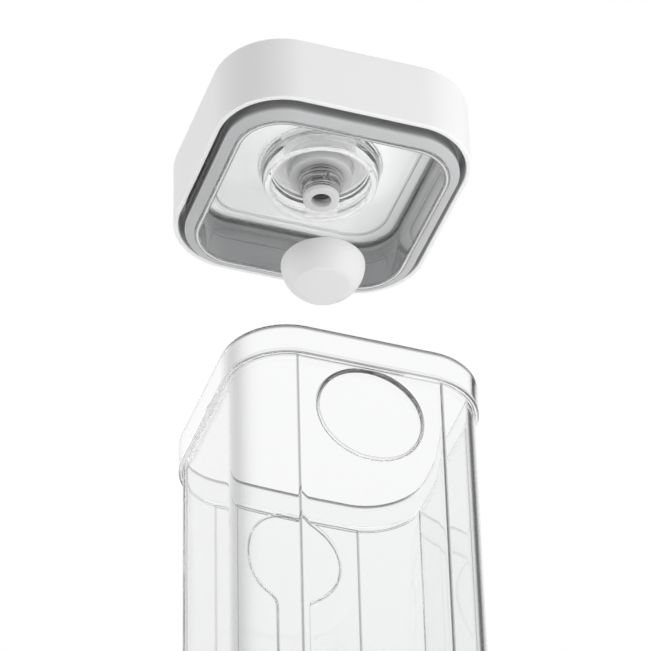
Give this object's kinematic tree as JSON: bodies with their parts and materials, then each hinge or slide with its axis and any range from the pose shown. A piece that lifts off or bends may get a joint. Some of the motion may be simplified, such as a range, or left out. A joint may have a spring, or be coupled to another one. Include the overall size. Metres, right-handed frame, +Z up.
{
  "type": "vacuum seal canister",
  "caption": "Clear square food canister with rounded corners and a white lift-off vacuum lid with gasket, hollow nipple, push-on powder cap and flap valve.",
  "frame": {"origin": "centre of the canister's base, on the surface it stands on", "axes": "+Z up along the axis that the lid lifts on, -Y towards the front face with the round recess, +X to the right of that face"},
  "size_m": [0.112, 0.112, 0.3349],
  "materials": {
    "canister_clear": "clear moulded plastic, polished",
    "lid_white": "white moulded plastic, fine satin",
    "plate_white": "white moulded plastic, satin",
    "carrier_clear": "clear moulded plastic, polished",
    "gasket_grey": "grey silicone, smooth",
    "seal_grey": "grey silicone, smooth",
    "valve_silicone": "pale silicone, matte",
    "cap_silicone": "white silicone, matte"
  },
  "bodies": {
    "canister": {"canister_body": "canister_clear"},
    "lid": {"lid_cover": "lid_white", "backing_plate": "plate_white", "valve_carrier": "carrier_clear", "lid_gasket": "gasket_grey", "chimney_seal": "seal_grey"},
    "valve": {"vacuum_valve": "valve_silicone"},
    "cap": {"powder_cap": "cap_silicone"}
  },
  "joints": [
    {"name": "lid_lift", "type": "slide", "parent": "canister", "child": "lid", "axis": [0, 0, 1], "range_m": [-0.1281, 0]},
    {"name": "cap_push", "type": "slide", "parent": "lid", "child": "cap", "axis": [0, 0, 1], "range_m": [0, 0.046]},
    {"name": "valve_lift", "type": "slide", "parent": "lid", "child": "valve", "axis": [0, 0, 1], "range_m": [0, 0.002]}
  ]
}
